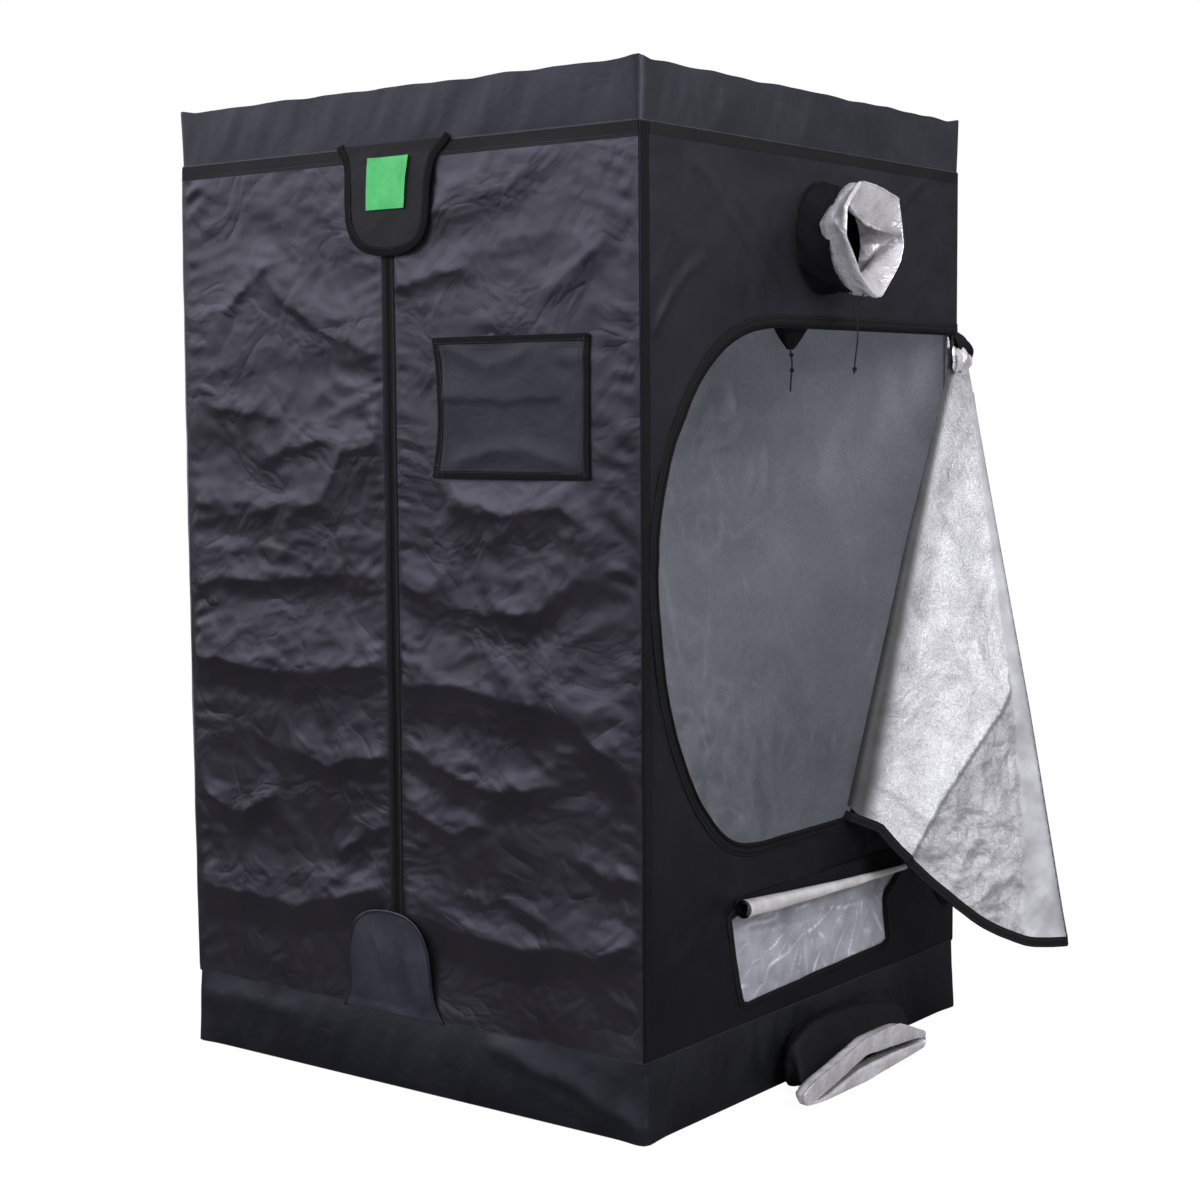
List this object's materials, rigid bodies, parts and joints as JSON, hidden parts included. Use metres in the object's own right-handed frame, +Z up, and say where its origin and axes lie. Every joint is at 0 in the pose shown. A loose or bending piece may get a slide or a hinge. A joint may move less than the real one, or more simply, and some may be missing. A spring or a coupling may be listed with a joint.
{
  "type": "indoor grow tent",
  "caption": "Free-standing square cloth tent on a steel-tube frame for growing plants indoors, with a zipped front, a round-cornered side door, duct sleeves and a mesh vent.",
  "frame": {"origin": "on the floor, at the middle of the tent's square base", "axes": "+Z up; the front with the long centre zip faces -Y; the side with the round-cornered door and the duct sleeves faces +X"},
  "size_m": [1.553, 1.378, 2],
  "materials": {
    "steel": "bright zinc-plated tube",
    "frame_plastic": "black moulded nylon",
    "black_cloth": "black oxford weave with a satin sheen, crumpled; silver lining inside",
    "door_cloth": "black oxford weave outside, sparkling silver lining on the side that shows",
    "zip_black": "matt black zip tape and binding",
    "sleeve_black": "soft black lining cloth, gathered",
    "silver_cloth": "wrinkled silver lining, turned out",
    "cover_cloth": "silver lining rolled on black cloth",
    "white_mesh": "fine white net",
    "clear_film": "green tinted window film",
    "label_green": "plain green woven patch",
    "cord_black": "matt black cord",
    "dark_metal": "dark zip slider"
  },
  "bodies": {
    "tent": {"pole_lower_front_left": "steel", "pole_upper_front_left": "steel", "corner_floor_front_left": "frame_plastic", "corner_roof_front_left": "frame_plastic", "pole_lower_front_right": "steel", "pole_upper_front_right": "steel", "corner_floor_front_right": "frame_plastic", "corner_roof_front_right": "frame_plastic", "pole_lower_rear_left": "steel", "pole_upper_rear_left": "steel", "corner_floor_rear_left": "frame_plastic", "corner_roof_rear_left": "frame_plastic", "pole_lower_rear_right": "steel", "pole_upper_rear_right": "steel", "corner_floor_rear_right": "frame_plastic", "corner_roof_rear_right": "frame_plastic", "rail_floor_front": "steel", "rail_floor_rear": "steel", "rail_floor_left": "steel", "rail_floor_right": "steel", "rail_roof_front": "steel", "rail_roof_rear": "steel", "rail_roof_left": "steel", "rail_roof_right": "steel", "floor_sheet": "black_cloth", "roof_panel": "black_cloth", "top_band": "black_cloth", "bottom_band": "black_cloth", "back_wall": "black_cloth", "left_wall": "black_cloth", "right_wall": "black_cloth", "side_door_zip": "zip_black", "upper_duct_sleeve": "sleeve_black", "upper_duct_cuff": "silver_cloth", "upper_duct_inner_sock": "sleeve_black", "lower_duct_sleeve": "sleeve_black", "lower_duct_cuff": "silver_cloth", "vent_mesh": "white_mesh", "vent_border": "zip_black", "cuff_drawstring": "cord_black", "sock_drawstring": "cord_black"},
    "front_door_left": {"front_door_left": "black_cloth", "centre_zip_left": "zip_black"},
    "front_door_right": {"front_door_right": "black_cloth", "centre_zip_right": "zip_black", "window_pane": "clear_film"},
    "centre_zip_slider": {"centre_zip_slider": "dark_metal"},
    "hood_flap": {"hood_flap": "black_cloth", "label_patch": "label_green"},
    "foot_flap": {"foot_flap": "black_cloth"},
    "window_cover": {"window_cover": "black_cloth"},
    "side_door_base": {"side_door_base": "door_cloth"},
    "side_door_front_leaf": {"side_door_front_leaf": "door_cloth"},
    "side_door_middle_leaf": {"side_door_middle_leaf": "door_cloth"},
    "side_door_tip_leaf": {"side_door_tip_leaf": "door_cloth"},
    "side_zip_slider_top": {"side_zip_slider_top": "dark_metal"},
    "side_zip_slider_bottom": {"side_zip_slider_bottom": "dark_metal"},
    "vent_cover_roll": {"vent_cover_roll": "cover_cloth"},
    "hanging_bar_front": {"hanging_bar_front": "steel"},
    "hanging_bar_rear": {"hanging_bar_rear": "steel"}
  },
  "joints": [
    {"name": "front_door_left_swing", "type": "hinge", "parent": "tent", "child": "front_door_left", "pos_m": [-0.5982, -0.6, 1], "axis": [0, 0, -1], "range_deg": [0, 150], "deforming": ["hood_flap", "label_patch", "foot_flap"]},
    {"name": "front_door_right_swing", "type": "hinge", "parent": "tent", "child": "front_door_right", "pos_m": [0.5982, -0.6, 1], "axis": [0, 0, 1], "range_deg": [0, 150], "deforming": ["hood_flap", "label_patch", "foot_flap"]},
    {"name": "centre_zip_run", "type": "slide", "parent": "front_door_left", "child": "centre_zip_slider", "axis": [0, 0, -1], "range_m": [0, 1.33]},
    {"name": "hood_flap_lift", "type": "hinge", "parent": "tent", "child": "hood_flap", "pos_m": [0, -0.6018, 1.8917], "axis": [-1, 0, 0], "range_deg": [0, 150]},
    {"name": "foot_flap_fold", "type": "hinge", "parent": "tent", "child": "foot_flap", "pos_m": [0, -0.6018, 0.1533], "axis": [1, 0, 0], "range_deg": [0, 115]},
    {"name": "window_cover_lift", "type": "hinge", "parent": "front_door_right", "child": "window_cover", "pos_m": [0.295, -0.6018, 1.51], "axis": [-1, 0, 0], "range_deg": [0, 165]},
    {"name": "side_door_swing", "type": "hinge", "parent": "tent", "child": "side_door_base", "pos_m": [0.6, 0.5982, 1.53], "axis": [0, 0, 1], "range_deg": [0, 100]},
    {"name": "side_door_front_fold", "type": "hinge", "parent": "side_door_base", "child": "side_door_front_leaf", "pos_m": [0.6, 0.5982, 1.53], "axis": [0, -0.411, -0.9117], "range_deg": [0, 140]},
    {"name": "side_door_middle_fold", "type": "hinge", "parent": "side_door_front_leaf", "child": "side_door_middle_leaf", "pos_m": [0.6, 0.5982, 1.53], "axis": [0.2594, -0.0942, -0.9612], "range_deg": [0, 172]},
    {"name": "side_door_tip_fold", "type": "hinge", "parent": "side_door_middle_leaf", "child": "side_door_tip_leaf", "pos_m": [0.59898, 0.59924, 1.52962], "axis": [0.0824, -0.2668, -0.9602], "range_deg": [-12, 0]},
    {"name": "side_zip_run_top", "type": "slide", "parent": "tent", "child": "side_zip_slider_top", "axis": [0, -1, 0], "range_m": [0, 0.64]},
    {"name": "side_zip_run_bottom", "type": "slide", "parent": "tent", "child": "side_zip_slider_bottom", "axis": [0, -1, 0], "range_m": [0, 0.2]},
    {"name": "vent_cover_lift", "type": "hinge", "parent": "tent", "child": "vent_cover_roll", "pos_m": [0.6034, 0, 0.414], "axis": [0, -1, 0], "range_deg": [0, 75]},
    {"name": "hanging_bar_front_slide", "type": "slide", "parent": "tent", "child": "hanging_bar_front", "axis": [0, 1, 0], "range_m": [-0.15, 0.15]},
    {"name": "hanging_bar_rear_slide", "type": "slide", "parent": "tent", "child": "hanging_bar_rear", "axis": [0, 1, 0], "range_m": [-0.15, 0.15]}
  ]
}
